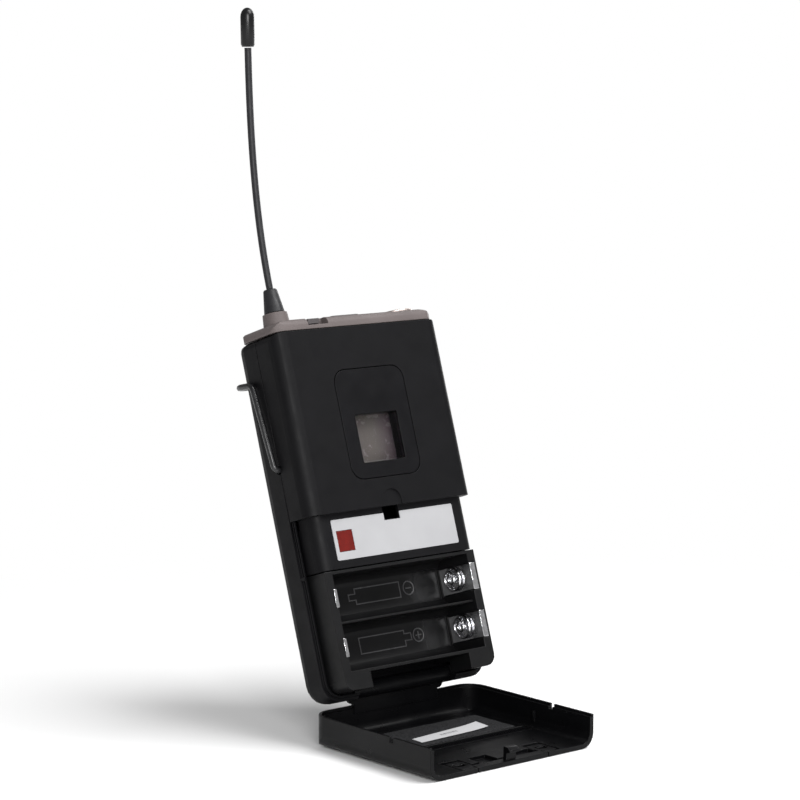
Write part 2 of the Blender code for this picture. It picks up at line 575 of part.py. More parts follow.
# ---- Inside -----------------------------------------------------------------------------------
def make_inside():
    board = box("main_circuit_board", (-28.0, 28.0), (7.6, 8.8), (62.0, 106.0), housing, "circuit_board")
    for name, (x, z) in SCREWS.items():
        cut(board, rod(name + "_board_hole", (x, 5, z), (x, 14, z), 3.1, housing))
    shield = box("rf_shield", (-12.0, 12.0), (9.1, 12.6), (64.0, 84.0), housing, "steel")
    cut(shield, box("shield_hollow", (-11.5, 11.5), (8.0, 12.1), (64.5, 83.5), housing))
    for name, (x, z) in SCREWS.items():
        head = [(0, 17.1), (2.1, 17.1), (2.1, 16.4), (1.9, 16.3), (1.0, 16.3), (1.0, 7.0), (0, 7.0)]
        screw = turned(name, head, (0, 0, 0), housing, "steel", sides=12)
        screw.data.transform(Matrix.Translation(Vector((x, 0, z)) * MM) @ Matrix.Rotation(-pi / 2, 4, "X"))
        cut(screw, box(name + "_slot", (x - 1.6, x + 1.6), (16.7, 18), (z - 0.25, z + 0.25), housing))
    rod("hinge_pin", (-23.4, HINGE_DEPTH, HINGE_HEIGHT), (23.4, HINGE_DEPTH, HINGE_HEIGHT), PIN_R,
        housing, "steel", sides=12)


# ---- Belt clip --------------------------------------------------------------------------------
def bend(points, radii, steps=4):
    """Rounds each corner of a route of straight runs to its own radius."""
    route = [Vector(points[0])]
    for before, corner, after, radius in zip(points, points[1:], points[2:], radii):
        before, corner, after = Vector(before), Vector(corner), Vector(after)
        to_a, to_b = (before - corner).normalized(), (after - corner).normalized()
        half_angle = to_a.angle(to_b) / 2
        reach = min(radius / math.tan(half_angle), (before - corner).length / 2, (after - corner).length / 2)
        r = reach * math.tan(half_angle)
        centre = corner + (to_a + to_b).normalized() * (r / sin(half_angle))
        start, end = corner + to_a * reach - centre, corner + to_b * reach - centre
        whole = start.angle(end)
        axis = start.cross(end).normalized()
        for i in range(steps + 1):
            route.append(centre + Matrix.Rotation(whole * i / steps, 3, axis) @ start)
    route.append(Vector(points[-1]))
    return route


def make_belt_clip():
    """One bent wire; the left half's corners, then the same mirrored. Origin on its pivot."""
    side = HALF_W + CLIP_R + 0.45
    behind = HOUSING_T + CLIP_R + 0.3 - CLIP_DEPTH
    left = [(-31.0, 0, 0), (-side, 0, 0), (-side, 3.2, 27.6), (-side, behind + 1.1, 28.6),
            (-13.0, behind + 1.1, 28.6), (-11.0, behind, -36.0), (-11.0, behind, -44.0)]
    right = [(-x, y, z) for x, y, z in reversed(left)]
    corners = [2.6, 2.0, 6.8, 3.0, 3.0, 3.0]
    wire("belt_clip", bend(left + right, corners + corners[::-1]), CLIP_R, housing, "clip_wire",
         at=(0, CLIP_DEPTH, CLIP_HEIGHT))


# ---- Battery door -----------------------------------------------------------------------------
EAR_POCKET = (12.9, 19.9)      # across, each side of the middle
EAR_FLOOR = 0.65
EAR_SLOT_X = 16.6


def make_battery_door():
    """Drawn in world coordinates, flat on the table: floor, two side walls and the rear wall."""
    front, rear = -DOOR_L / 2, DOOR_L / 2
    r = CORNER_R
    plan = rounded_outline(-HALF_W, HALF_W, front, rear, (0, 0, r, r))
    body = prism("battery_door", plan, "Z", 0.0, DOOR_D, door, "door_plastic")
    section = rounded_outline(-HALF_W, HALF_W, 0.0, DOOR_D + 4, (FRONT_R, FRONT_R, 0, 0))
    combine(body, prism("side_rounding", section, "Y", front - 2, rear + 2, door), "INTERSECT")
    edge = rounded_outline(front - 4, rear, 0.0, DOOR_D + 4, (0, REAR_R, 0, 0))
    combine(body, prism("rear_rounding", edge, "X", -40, 40, door), "INTERSECT")

    inner = HALF_W - DOOR_WALL
    plan = rounded_outline(-inner, inner, front - 4, rear - DOOR_WALL, (0, 0, r - 1.5, r - 1.5))
    hollow = prism("door_hollow", plan, "Z", DOOR_WALL, DOOR_D + 4, door)
    section = rounded_outline(-inner, inner, DOOR_WALL, DOOR_D + 6, (3.0, 3.0, 0, 0))
    combine(hollow, prism("hollow_rounding", section, "Y", front - 6, rear + 2, door), "INTERSECT")
    inside = rounded_outline(front - 6, rear - DOOR_WALL, DOOR_WALL, DOOR_D + 6, (0, REAR_R - 1.5, 0, 0))
    combine(hollow, prism("hollow_rear", inside, "X", -40, 40, door), "INTERSECT")
    cut(body, hollow)
    lip = HALF_W - RABBET
    plan = rounded_outline(-lip, lip, front - 4, rear - RABBET, (0, 0, r - RABBET, r - RABBET))
    cut(body, prism("door_rabbet", plan, "Z", DOOR_D - 0.8, DOOR_D + 4, door))
    return body


def make_door_details(body):
    front = -DOOR_L / 2
    # flap that carries the hinge barrel
    low = arc((FLAP_HALF - 2.5, DOOR_D + 3.0), 2.5, -90, 0, 4)
    outline = [(17.0, DOOR_D - 2.5), (17.0, DOOR_D + 0.7)] + low[1:] + [(FLAP_HALF, HINGE_Z)]
    outline = outline + [(-x, z) for x, z in reversed(outline)]
    join(body, prism("hinge_flap", outline, "Y", HINGE_Y + 0.7, HINGE_Y + 2.3, door))
    join(body, rod("hinge_barrel", (-FLAP_HALF, HINGE_Y, HINGE_Z), (FLAP_HALF, HINGE_Y, HINGE_Z),
                   BARREL_R, door))
    cut(body, rod("barrel_bore", (-30, HINGE_Y, HINGE_Z), (30, HINGE_Y, HINGE_Z), PIN_BORE, door, sides=12))
    # cross rib that keeps the foam, and its two gussets up the side walls
    join(body, box("foam_rib", (-26.4, 26.4), (-3.9, -2.8), (1.0, 3.05), door))
    join(body, box("low_rib", (-30.4, 30.4), (-3.9, -2.8), (1.0, 2.2), door))
    for side in (-1, 1):
        x = sorted((side * 30.75, side * 32.0))
        join(body, box("wall_gusset", x, (-3.5, -2.8), (3.5, 7.0), door))
        notch = [(side * 40, -11.3), (side * 40, -9.7), (side * 20, -9.7), (side * 20, -11.3)]
        cut(body, prism("wall_notch", notch, "Z", DOOR_D - 1.7, DOOR_D + 3, door))
    # room for the latch and the windows either side of its hook
    cut(body, box("latch_way", (-14.3, 14.3), (front - 2, front + 4.8), (-1, 6), door))
    cut(body, box("left_window", (-9.5, -2.4), (front + 4, front + 10.5), (0.4, 6), door))
    cut(body, box("right_window", (2.6, 12.4), (front + 4, front + 7.4), (0.4, 6), door))
    # shallow pockets for the latch's ears, each with a peg that guides the ear's slot
    for side in (-1, 1):
        x = sorted((side * EAR_POCKET[0], side * EAR_POCKET[1]))
        cut(body, box("ear_pocket", x, (front + 1.1, front + 11.1), (EAR_FLOOR, 3.0), door))
        middle = side * EAR_SLOT_X
        peg = rounded_outline(middle - 1.6, middle + 1.6, front + 6.0, front + 7.2, (0.6,) * 4, steps=3)
        join(body, prism("guide_peg", peg, "Z", EAR_FLOOR - 0.2, DOOR_WALL, door))


def make_latch():
    """Slides back towards the hinge; its hook stands up behind the catch of the front shell."""
    front = -DOOR_L / 2
    strip = rounded_outline(-14.0, 14.0, front, front + 3.4, (0, 0, 0.8, 0.8), steps=2)
    latch = prism("door_latch", strip, "Z", 0.0, DOOR_WALL, door, "door_plastic")
    x0, x1 = CATCH_X - 2.0, CATCH_X + 2.0
    nose = front - HOOK_REACH
    hook = [(front + 0.9, 0.8), (front + 2.4, 0.8), (front + 2.2, 5.6), (nose + 1.2, 5.6),
            (nose, 4.7), (nose, 4.1), (front + 0.9, 3.7)]
    join(latch, prism("latch_hook", hook, "X", x0, x1, door))
    for side in (-1, 1):
        x = sorted((side * (EAR_POCKET[0] + GAP), side * (EAR_POCKET[1] - 0.5)))
        ear = rounded_outline(x[0], x[1], front + 1.5, front + 9.6, (1.0,) * 4, steps=2)
        join(latch, prism("latch_ear", ear, "Z", EAR_FLOOR + GAP, DOOR_WALL - 0.05, door))
        middle = side * EAR_SLOT_X
        slot = rounded_outline(middle - 1.95, middle + 1.95, front + 4.6, front + 7.6, (1.2,) * 4, steps=3)
        cut(latch, prism("ear_slot", slot, "Z", 0, 5, door))
    return latch


def make_door_lining():
    foam = rounded_outline(-24.6, 24.6, -2.4, 17.0, (0.8,) * 4, steps=2)
    prism("door_foam", foam, "Z", DOOR_WALL + 0.05, 3.15, door, "foam")
    sticker = prism("door_sticker", rounded_outline(-14.0, 14.0, -3.2, 3.2, (0.3,) * 4, steps=1),
                    "Z", 3.45, 3.6, door, "label_paper", at=(3.0, 4.6, 0.0))
    sticker.rotation_euler = (0, 0, radians(3.0))


make_back_shell()
make_front_shell()
make_battery_tray()
make_battery_contacts()
make_display()
make_label()
make_top_cap()
make_controls()
make_mic_jack()
make_antenna()
make_inside()
make_belt_clip()
make_door_details(make_battery_door())
make_latch()
make_door_lining()
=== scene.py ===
"""Looks of a wireless bodypack transmitter that stands open on a pale studio floor."""
import json
from math import cos, pi, radians, sin

import bmesh
import bpy
from mathutils import Matrix, Vector, noise


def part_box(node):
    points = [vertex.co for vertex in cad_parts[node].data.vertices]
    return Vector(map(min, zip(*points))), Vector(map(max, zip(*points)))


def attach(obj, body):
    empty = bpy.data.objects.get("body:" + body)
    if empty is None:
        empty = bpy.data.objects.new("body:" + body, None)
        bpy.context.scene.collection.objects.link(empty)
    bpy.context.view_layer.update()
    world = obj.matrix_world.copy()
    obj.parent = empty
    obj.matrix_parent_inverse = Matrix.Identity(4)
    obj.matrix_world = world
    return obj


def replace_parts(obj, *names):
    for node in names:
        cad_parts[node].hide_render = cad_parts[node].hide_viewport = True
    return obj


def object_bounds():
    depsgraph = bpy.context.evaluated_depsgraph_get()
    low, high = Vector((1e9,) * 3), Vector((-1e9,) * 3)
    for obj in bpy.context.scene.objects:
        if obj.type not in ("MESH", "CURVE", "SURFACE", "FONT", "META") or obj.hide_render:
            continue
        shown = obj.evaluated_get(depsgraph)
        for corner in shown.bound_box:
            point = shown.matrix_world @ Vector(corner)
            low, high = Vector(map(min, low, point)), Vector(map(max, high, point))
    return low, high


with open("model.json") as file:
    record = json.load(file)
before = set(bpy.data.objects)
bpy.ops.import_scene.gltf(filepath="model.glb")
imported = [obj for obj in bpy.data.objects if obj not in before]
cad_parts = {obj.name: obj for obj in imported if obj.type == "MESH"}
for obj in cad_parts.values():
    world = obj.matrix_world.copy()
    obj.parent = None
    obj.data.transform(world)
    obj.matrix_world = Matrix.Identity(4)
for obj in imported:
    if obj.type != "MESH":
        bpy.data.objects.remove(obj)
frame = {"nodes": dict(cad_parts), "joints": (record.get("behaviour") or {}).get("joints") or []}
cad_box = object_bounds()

MM = 0.001
scene = bpy.context.scene
scene.view_settings.view_transform = "Standard"
joints = {joint["name"]: joint for joint in frame["joints"]}

# ---- The housing's own frame, worked out from its joints ---------------------------------------
HINGE_DEPTH, HINGE_HEIGHT = 15.5, 2.6          # the hinge in the housing's frame, in millimetres
UP = -Vector(joints["mute_button_press"]["axis"])
ACROSS = Vector((1.0, 0.0, 0.0))
BACK = UP.cross(ACROSS)
HINGE = Vector(joints["battery_door_hinge"]["pos_m"])
ORIGIN = HINGE - BACK * HINGE_DEPTH * MM - UP * HINGE_HEIGHT * MM
HOUSING = Matrix.Translation(ORIGIN) @ Matrix((ACROSS, BACK, UP)).transposed().to_4x4()


def place(x, depth, height):
    """A point of the housing's frame, given in millimetres, in the world."""
    return HOUSING @ (Vector((x, depth, height)) * MM)


# ---- Camera ------------------------------------------------------------------------------------
AZIMUTH, ELEVATION = radians(40.125), radians(7.452)
DISTANCE = 0.8612
AIM_OFFSET = Vector((-0.0019, 0.0004, -0.0073))
LENS = 126.06
SENSOR_WIDTH = 36.0

# ---- Studio, in metres and watts ---------------------------------------------------------------
SURROUNDINGS_REFLECTED, SURROUNDINGS_SEEN = 0.28, 1.0
MIDDLE_OF_PART = None                           # stands for a point that is known only later
SOFT_BOXES = (                                  # name, place, target, width, height, power
    ("overhead", (0.40, -0.62, 1.25), (0, 0.05, 0), 0.9, 0.9, 25.0),
    ("key", (-0.75, -1.22, 0.56), MIDDLE_OF_PART, 0.55, 0.55, 16.0),
    ("edge_strip", (-0.80, -0.50, 0.24), MIDDLE_OF_PART, 0.14, 0.8, 0.6),
    ("right_strip", (0.65, 0.35, 0.35), MIDDLE_OF_PART, 0.2, 0.8, 2.0),
)
PAPER_RADIUS, PAPER_CORNERS = 3.0, 96
PAPER_HEIGHT = -0.0001                          # just under the part, so that the two never meet
PAPER_GREY = 0.82
PAPER_FADE = 0.10, 0.32                         # where the paper starts and ends its fade to white

# ---- Sizes of the drawn details, in millimetres ------------------------------------------------
LCD_SHADE_START, LCD_SHADE_END = 1.0, 10.5                # where the painted shade on the display starts and ends its fall to dark
BAY_FLOOR = 18.1                                # depth of the battery bays' floor

LINE_WIDTH, LINE_HEIGHT, LINE_ROOT = 0.34, 0.16, 0.05
SHARPEST_MITRE = 0.35                           # keeps a line's sharp corner from reaching far out
CELL_MARKS = (                                  # across: flat end, shoulder, nub; up: low and high
                                                # side of the cell, low and high side of its nub
    (10.1, -8.0, -10.7, 28.9, 33.8, 30.3, 32.2),
    (-10.0, 8.3, 11.0, 13.4, 18.4, 15.1, 17.3),
)
MINUS_SIGN, PLUS_SIGN = (13.7, 31.4), (14.0, 16.2)
SIGN_RING, SIGN_ARM, SIGN_GAP = 2.1, 1.2, 0.02
RING_CORNERS = 28

COIL_TURNS, COIL_OUTER_TURNS, COIL_WIND_IN = 2.3, 1.05, 0.4
COIL_STEPS, WIRE_SIDES = 32, 12                 # steps in one turn, corners round the wire
COIL_OUTER, COIL_INNER, COIL_WIRE = 3.5, 1.25, 0.45
COIL_BASE, COIL_RISE = 26.8, 1.2

FOAM_GRID = 96, 40
FOAM_CROWN, FOAM_DROP, FOAM_UNEVEN = 0.30, 0.45, 0.07
FOAM_SOFT_EDGE = 0.022                          # in parts of the pad's width
FOAM_DEPTH_SHARE = 0.4                          # the pad's depth, in parts of its width
FOAM_LUMPS = 19, 9                              # lumps along its width and its depth

STICKER = ((-12.8, -0.9), (15.3, 0.4), (16.2, 7.1), (-12.5, 4.0))
STICKER_GRID = 28, 4
STICKER_THICKNESS, STICKER_CLEARANCE = 0.12, 0.08
STICKER_LIFT, STICKER_LIFT_START = 0.35, 0.72   # its free end has come up
BAR_WIDTHS = (3, 2, 4, 2, 3, 3, 2, 4, 2, 3)     # in units
BAR_START, BAR_PITCH, BAR_UNIT = 0.36, 0.026, 0.0042    # in parts of the sticker's length
BAR_LOW, BAR_HIGH = 0.40, 0.62                  # in parts of the sticker's width
BAR_RELIEF = 0.02


def make_camera():
    low, high = (Vector(corner) for corner in cad_box)
    middle = (low + high) / 2
    view = Vector((sin(AZIMUTH) * cos(ELEVATION), cos(AZIMUTH) * cos(ELEVATION), -sin(ELEVATION)))
    camera = bpy.data.cameras.new("camera")
    camera.lens = LENS
    camera.sensor_width = SENSOR_WIDTH
    camera.clip_start = 0.02
    camera.clip_end = 20.0
    obj = bpy.data.objects.new("camera", camera)
    obj.location = middle + AIM_OFFSET - view * DISTANCE
    obj.rotation_euler = view.to_track_quat("-Z", "Y").to_euler()
    scene.collection.objects.link(obj)
    scene.camera = obj
    return middle


# ---- Studio ------------------------------------------------------------------------------------
def area_light(name, location, target, width, height, power):
    light = bpy.data.lights.new(name, "AREA")
    light.shape = "RECTANGLE"
    light.size, light.size_y = width, height
    light.energy = power
    obj = bpy.data.objects.new(name, light)
    obj.location = location
    obj.rotation_euler = (Vector(target) - Vector(location)).to_track_quat("-Z", "Y").to_euler()
    scene.collection.objects.link(obj)


def make_studio(middle):
    """White surroundings for the eye, dimmer ones for reflections, soft boxes and paper."""
    world = bpy.data.worlds.new("studio")
    scene.world = world
    world.use_nodes = True
    nodes, links = world.node_tree.nodes, world.node_tree.links
    background = nodes["Background"]
    path = nodes.new("ShaderNodeLightPath")
    strength = nodes.new("ShaderNodeMapRange")
    strength.inputs["To Min"].default_value = SURROUNDINGS_REFLECTED
    strength.inputs["To Max"].default_value = SURROUNDINGS_SEEN
    links.new(path.outputs["Is Camera Ray"], strength.inputs["Value"])
    links.new(strength.outputs["Result"], background.inputs["Strength"])
    background.inputs["Color"].default_value = (1, 1, 1, 1)

    for name, location, target, width, height, power in SOFT_BOXES:
        area_light(name, location, target or middle, width, height, power)
    make_paper()


def make_paper():
    """The floor, a disc of pale paper that fades into the white surroundings."""
    bpy.ops.mesh.primitive_circle_add(vertices=PAPER_CORNERS, radius=PAPER_RADIUS,
                                      fill_type="NGON", location=(0, 0, PAPER_HEIGHT))
    floor = bpy.context.object
    floor.name = "studio_floor"
    paper = Finish("studio_floor", (PAPER_GREY, PAPER_GREY, PAPER_GREY), 0.9, specular=0.0)
    distance = paper.node("ShaderNodeVectorMath", operation="LENGTH")
    paper.link(paper.position, distance.inputs[0])
    fade = paper.spread(distance.outputs["Value"], 0.0, 1.0, *PAPER_FADE, kind="SMOOTHSTEP")
    glow = paper.node("ShaderNodeEmission")
    mix = paper.node("ShaderNodeMixShader")
    paper.link(fade, mix.inputs["Fac"])
    paper.link(paper.shader.outputs["BSDF"], mix.inputs[1])
    paper.link(glow.outputs["Emission"], mix.inputs[2])
    paper.link(mix.outputs["Shader"], paper.tree.nodes["Material Output"].inputs["Surface"])
    floor.data.materials.append(paper.material)


# ---- Materials ---------------------------------------------------------------------------------
NOISE_LOW, NOISE_HIGH = 0.3, 0.7                # most of a noise's values lie between these
HANDLING, DRIFT, SPOTS = 5.0, 14.0, 1.2         # size of handling marks, colour drift and spots, mm
GRAIN_RELIEF = 0.02                             # millimetres


class Finish:
    """A Principled material whose colour, roughness and bump can each follow a noise."""

    def __init__(self, name, colour, roughness, metallic=0.0, specular=0.5):
        self.material = bpy.data.materials.new(name)
        self.material.use_nodes = True
        self.tree = self.material.node_tree
        self.shader = self.tree.nodes["Principled BSDF"]
        self.shader.inputs["Base Color"].default_value = (*colour, 1)
        self.shader.inputs["Roughness"].default_value = roughness
        self.shader.inputs["Metallic"].default_value = metallic
        self.shader.inputs["Specular IOR Level"].default_value = specular
        self.colour, self.roughness = colour, roughness
        self.position = self.tree.nodes.new("ShaderNodeTexCoord").outputs["Object"]
        self.normal = None

    def node(self, kind, **values):
        node = self.tree.nodes.new(kind)
        for name, value in values.items():
            setattr(node, name, value)
        return node

    def link(self, source, target):
        self.tree.links.new(source, target)

    def noise(self, size, detail=3.0, stretch=None):
        """Noise whose features are about the given size in millimetres."""
        position = self.position
        if stretch:
            mapping = self.node("ShaderNodeMapping")
            mapping.inputs["Scale"].default_value = stretch
            self.link(position, mapping.inputs["Vector"])
            position = mapping.outputs["Vector"]
        noise_node = self.node("ShaderNodeTexNoise")
        noise_node.inputs["Scale"].default_value = 1.0 / (size * MM)
        noise_node.inputs["Detail"].default_value = detail
        self.link(position, noise_node.inputs["Vector"])
        return noise_node.outputs["Fac"]

    def spread(self, value, low, high, from_low=NOISE_LOW, from_high=NOISE_HIGH, kind="LINEAR"):
        """The value, brought from the range from_low to from_high to the range low to high."""
        spread = self.node("ShaderNodeMapRange", interpolation_type=kind)
        for name, number in (("From Min", from_low), ("From Max", from_high),
                             ("To Min", low), ("To Max", high)):
            spread.inputs[name].default_value = number
        self.link(value, spread.inputs["Value"])
        return spread.outputs["Result"]

    def vary_colour(self, value, amount, other=None):
        """The colour drifts from a darker to a lighter tone, or towards another colour."""
        ramp = self.node("ShaderNodeValToRGB")
        dark = tuple(c * (1 - amount) for c in self.colour)
        light = other or tuple(c * (1 + amount) for c in self.colour)
        for element, position, colour in zip(ramp.color_ramp.elements, (NOISE_LOW, NOISE_HIGH),
                                             (dark, light)):
            element.position = position
            element.color = (*colour, 1)
        self.link(value, ramp.inputs["Fac"])
        self.link(ramp.outputs["Color"], self.shader.inputs["Base Color"])
        return self

    def vary_roughness(self, value, amount):
        result = self.spread(value, self.roughness - amount, self.roughness + amount)
        self.link(result, self.shader.inputs["Roughness"])
        return self

    def bump(self, value, height, strength=1.0):
        """Relief of the given height in millimetres; later reliefs add to earlier ones."""
        bump = self.node("ShaderNodeBump")
        bump.inputs["Strength"].default_value = strength
        bump.inputs["Distance"].default_value = height * MM
        self.link(value, bump.inputs["Height"])
        if self.normal:
            self.link(self.normal, bump.inputs["Normal"])
        self.normal = bump.outputs["Normal"]
        self.link(self.normal, self.shader.inputs["Normal"])
        return self


def moulded(name, colour, roughness, grain=0.32, specular=0.5, drift=0.18):
    """Injection-moulded plastic with a spark-eroded grain and faint handling marks."""
    finish = Finish(name, colour, roughness, specular=specular)
    finish.vary_colour(finish.noise(DRIFT), drift)
    finish.vary_roughness(finish.noise(HANDLING, detail=5.0), 0.06)
    return finish.bump(finish.noise(grain, detail=4.0), GRAIN_RELIEF)


def metal(name, colour, roughness, lines=None, relief=0.006):
    """Metal with faint spots, drawn out into lines where the noise is stretched."""
    finish = Finish(name, colour, roughness, metallic=1.0)
    value = finish.noise(SPOTS, detail=4.0, stretch=lines)
    finish.vary_colour(value, 0.10)
    finish.vary_roughness(value, min(0.08, roughness * 0.5))
    return finish.bump(finish.noise(SPOTS / 2, stretch=lines), relief)


def make_materials():
    made = {}
    made["housing"] = moulded("housing_plastic", (0.0026, 0.0025, 0.0032), 0.52, specular=0.14)
    made["panel"] = moulded("panel_plastic", (0.0028, 0.0027, 0.0035), 0.46,
                            grain=0.28, specular=0.13)
    made["tray"] = moulded("tray_plastic", (0.0058, 0.0058, 0.0062), 0.44,
                           grain=0.4, specular=0.18)
    # painted highlight: the moulded marks are the tray's own plastic, coloured far lighter so that
    # they look lit
    made["tray_mark"] = moulded("tray_mark_painted_highlight", (0.050, 0.050, 0.052), 0.30,
                                grain=0.4, specular=0.4)
    made["door"] = moulded("door_plastic", (0.0026, 0.0026, 0.0030), 0.32,
                           grain=0.35, specular=0.13)
    made["cap"] = moulded("cap_plastic", (0.110, 0.092, 0.090), 0.52,
                          grain=0.3, specular=0.28, drift=0.08)
    made["control"] = moulded("control_plastic", (0.052, 0.045, 0.046), 0.48, grain=0.25)
    made["insert"] = moulded("insert_plastic", (0.02, 0.02, 0.021), 0.45)
    made["switch_case"] = moulded("switch_plastic", (0.03, 0.03, 0.032), 0.5)

    rubber = Finish("antenna_rubber", (0.015, 0.015, 0.017), 0.48, specular=0.30)
    rubber.vary_colour(rubber.noise(6.0), 0.25)
    rubber.vary_roughness(rubber.noise(2.0), 0.07)
    made["rubber"] = rubber.bump(rubber.noise(0.25, detail=3.0), 0.012)
    tip = Finish("tip_rubber", (0.007, 0.007, 0.0075), 0.27, specular=0.3)
    tip.vary_colour(tip.noise(5.0), 0.2)
    tip.vary_roughness(tip.noise(3.0), 0.05)
    made["tip"] = tip.bump(tip.noise(0.5), 0.006)

    made["chrome"] = metal("contact_chrome", (0.90, 0.90, 0.92), 0.17, relief=0.0015)
    made["jack"] = metal("jack_metal", (0.56, 0.48, 0.45), 0.42, lines=(1, 1, 8))
    made["gold"] = metal("pin_gold", (0.83, 0.60, 0.26), 0.2)
    made["steel"] = metal("plain_steel", (0.52, 0.52, 0.52), 0.3, lines=(6, 1, 6))
    made["shield"] = metal("shield_metal", (0.62, 0.62, 0.63), 0.34, lines=(1, 8, 1))
    wire = Finish("clip_wire", (0.010, 0.010, 0.011), 0.30, specular=0.55)
    wire.vary_colour(wire.noise(3.0), 0.3)
    wire.vary_roughness(wire.noise(1.5), 0.08)
    made["wire"] = wire.bump(wire.noise(0.6), 0.002)

    board = Finish("circuit_board", (0.012, 0.10, 0.035), 0.35)
    board.vary_colour(board.noise(1.6, detail=1.0), 0.45)
    made["board"] = board.bump(board.noise(1.2, detail=1.0), 0.03)

    label = Finish("label_film", (0.335, 0.335, 0.345), 0.42, specular=0.35)
    label.vary_colour(label.noise(18.0), 0.05)
    label.vary_roughness(label.noise(2.5), 0.07)
    made["label"] = label.bump(label.noise(0.6, detail=4.0), 0.005)
    sticker = Finish("sticker_paper", (0.46, 0.46, 0.47), 0.55, specular=0.3)
    sticker.vary_colour(sticker.noise(0.5, detail=5.0), 0.05)
    made["sticker"] = sticker.bump(sticker.noise(0.3, detail=5.0), 0.01)
    ink = Finish("sticker_ink", (0.12, 0.12, 0.125), 0.6, specular=0.3)
    ink.vary_colour(ink.noise(0.4, detail=4.0), 0.35)
    made["ink"] = ink.bump(ink.noise(0.2), 0.004)

    red = Finish("sync_red", (0.105, 0.006, 0.004), 0.22, specular=0.5)
    red.vary_colour(red.noise(3.0), 0.15)
    made["red"] = red.bump(red.noise(1.5), 0.01)
    made["lens"] = make_lens_finish()
    made["lcd"] = make_lcd_finish()
    made["foam"] = make_foam_finish()
    return made


def make_lens_finish():
    lens = Finish("display_lens", (0.92, 0.90, 0.93), 0.04, specular=0.5)
    lens.shader.inputs["Transmission Weight"].default_value = 1.0
    lens.shader.inputs["IOR"].default_value = 1.1
    lens.vary_roughness(lens.noise(4.0), 0.02)
    return lens


def make_lcd_finish():
    """Warm grey polariser with painted shade: its grey falls away to a dark edge where the frame of
    the window shades it.
    """
    lcd = Finish("lcd_glass", (0.20, 0.19, 0.17), 0.25, specular=0.4)
    across = lcd.node("ShaderNodeSeparateXYZ")
    lcd.link(lcd.position, across.inputs["Vector"])
    # painted shade: the grey darkens across the display towards the side the window's frame shades
    fade = lcd.spread(across.outputs["X"], 0.0, 1.0, LCD_SHADE_START * MM, LCD_SHADE_END * MM)
    ramp = lcd.node("ShaderNodeValToRGB")
    first, last = ramp.color_ramp.elements
    first.color, last.color = (0.092, 0.086, 0.076, 1), (0.006, 0.005, 0.007, 1)
    middle = ramp.color_ramp.elements.new(0.6)
    middle.color = (0.072, 0.062, 0.063, 1)
    lcd.link(fade, ramp.inputs["Fac"])
    lcd.link(ramp.outputs["Color"], lcd.shader.inputs["Base Color"])
    lcd.vary_roughness(lcd.noise(3.0), 0.05)
    return lcd


def make_foam_finish():
    """Open-cell foam: dark pores between pale cell walls."""
    foam = Finish("door_foam", (0.010, 0.010, 0.0105), 0.95, specular=0.1)
    cells = foam.node("ShaderNodeTexVoronoi")
    cells.inputs["Scale"].default_value = 1.0 / (0.45 * MM)
    foam.link(foam.position, cells.inputs["Vector"])
    speckle = foam.noise(0.4, detail=5.0)
    foam.vary_colour(speckle, 0.65, other=(0.030, 0.030, 0.032))
    foam.bump(cells.outputs["Distance"], 0.12, strength=0.9)
    foam.bump(speckle, 0.10)
    return foam


MATERIALS = make_materials()


# ---- Pieces from the CAD solids ----------------------------------------------------------------
SHARP = radians(32)
ROUND = radians(62)                             # for wires, whose facets are not edges
SOFT = radians(50)                              # for foam and paper
SAME_POINT, SAME_PLANE = 2e-6, radians(0.3)     # metres and angle within which facets merge
BEVEL_SEGMENTS = 2


def link_object(name, mesh):
    obj = bpy.data.objects.new(name, mesh)
    scene.collection.objects.link(obj)
    return obj


def mesh_of(bm, name):
    mesh = bpy.data.meshes.new(name)
    bm.to_mesh(mesh)
    bm.free()
    return mesh


def face_outward(bm):
    bmesh.ops.recalc_face_normals(bm, faces=bm.faces)


def join_rings(bm, rings, closed=False):
    """Faces from each ring of corners to the next, and a cap on either end of an open row."""
    for first, second in zip(rings, rings[1:] + rings[:1] if closed else rings[1:]):
        for k in range(len(first)):
            after = (k + 1) % len(first)
            bm.faces.new((first[k], first[after], second[after], second[k]))
    if not closed:
        bm.faces.new(rings[0])
        bm.faces.new(reversed(rings[-1]))


def shade(mesh, sharp=SHARP):
    mesh.shade_smooth()
    mesh.set_sharp_from_angle(angle=sharp)


def dress(obj, body, finish):
    obj.data.materials.clear()
    obj.data.materials.append(MATERIALS[finish].material)
    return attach(obj, body)


def finished(node, body, finish, edge, sharp=SHARP):
    """A CAD solid's own shape, its facets merged and its edges broken as a mould breaks them."""
    mesh = frame["nodes"][node].data.copy()
    bm = bmesh.new()
    bm.from_mesh(mesh)
    bmesh.ops.remove_doubles(bm, verts=bm.verts, dist=SAME_POINT)
    bmesh.ops.dissolve_limit(bm, angle_limit=SAME_PLANE, verts=bm.verts, edges=bm.edges)
    face_outward(bm)
    bm.to_mesh(mesh)
    bm.free()
    shade(mesh, sharp)
    obj = link_object(node + "_finish", mesh)
    if edge:
        bevel = obj.modifiers.new("broken_edges", "BEVEL")
        bevel.width = edge * MM
        bevel.segments = BEVEL_SEGMENTS
        bevel.limit_method = "ANGLE"
        bevel.angle_limit = SHARP
        bevel.use_clamp_overlap = False
        weighted = obj.modifiers.new("flat_faces_flat", "WEIGHTED_NORMAL")
        weighted.keep_sharp = True
    dress(obj, body, finish)
    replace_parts(obj, node)


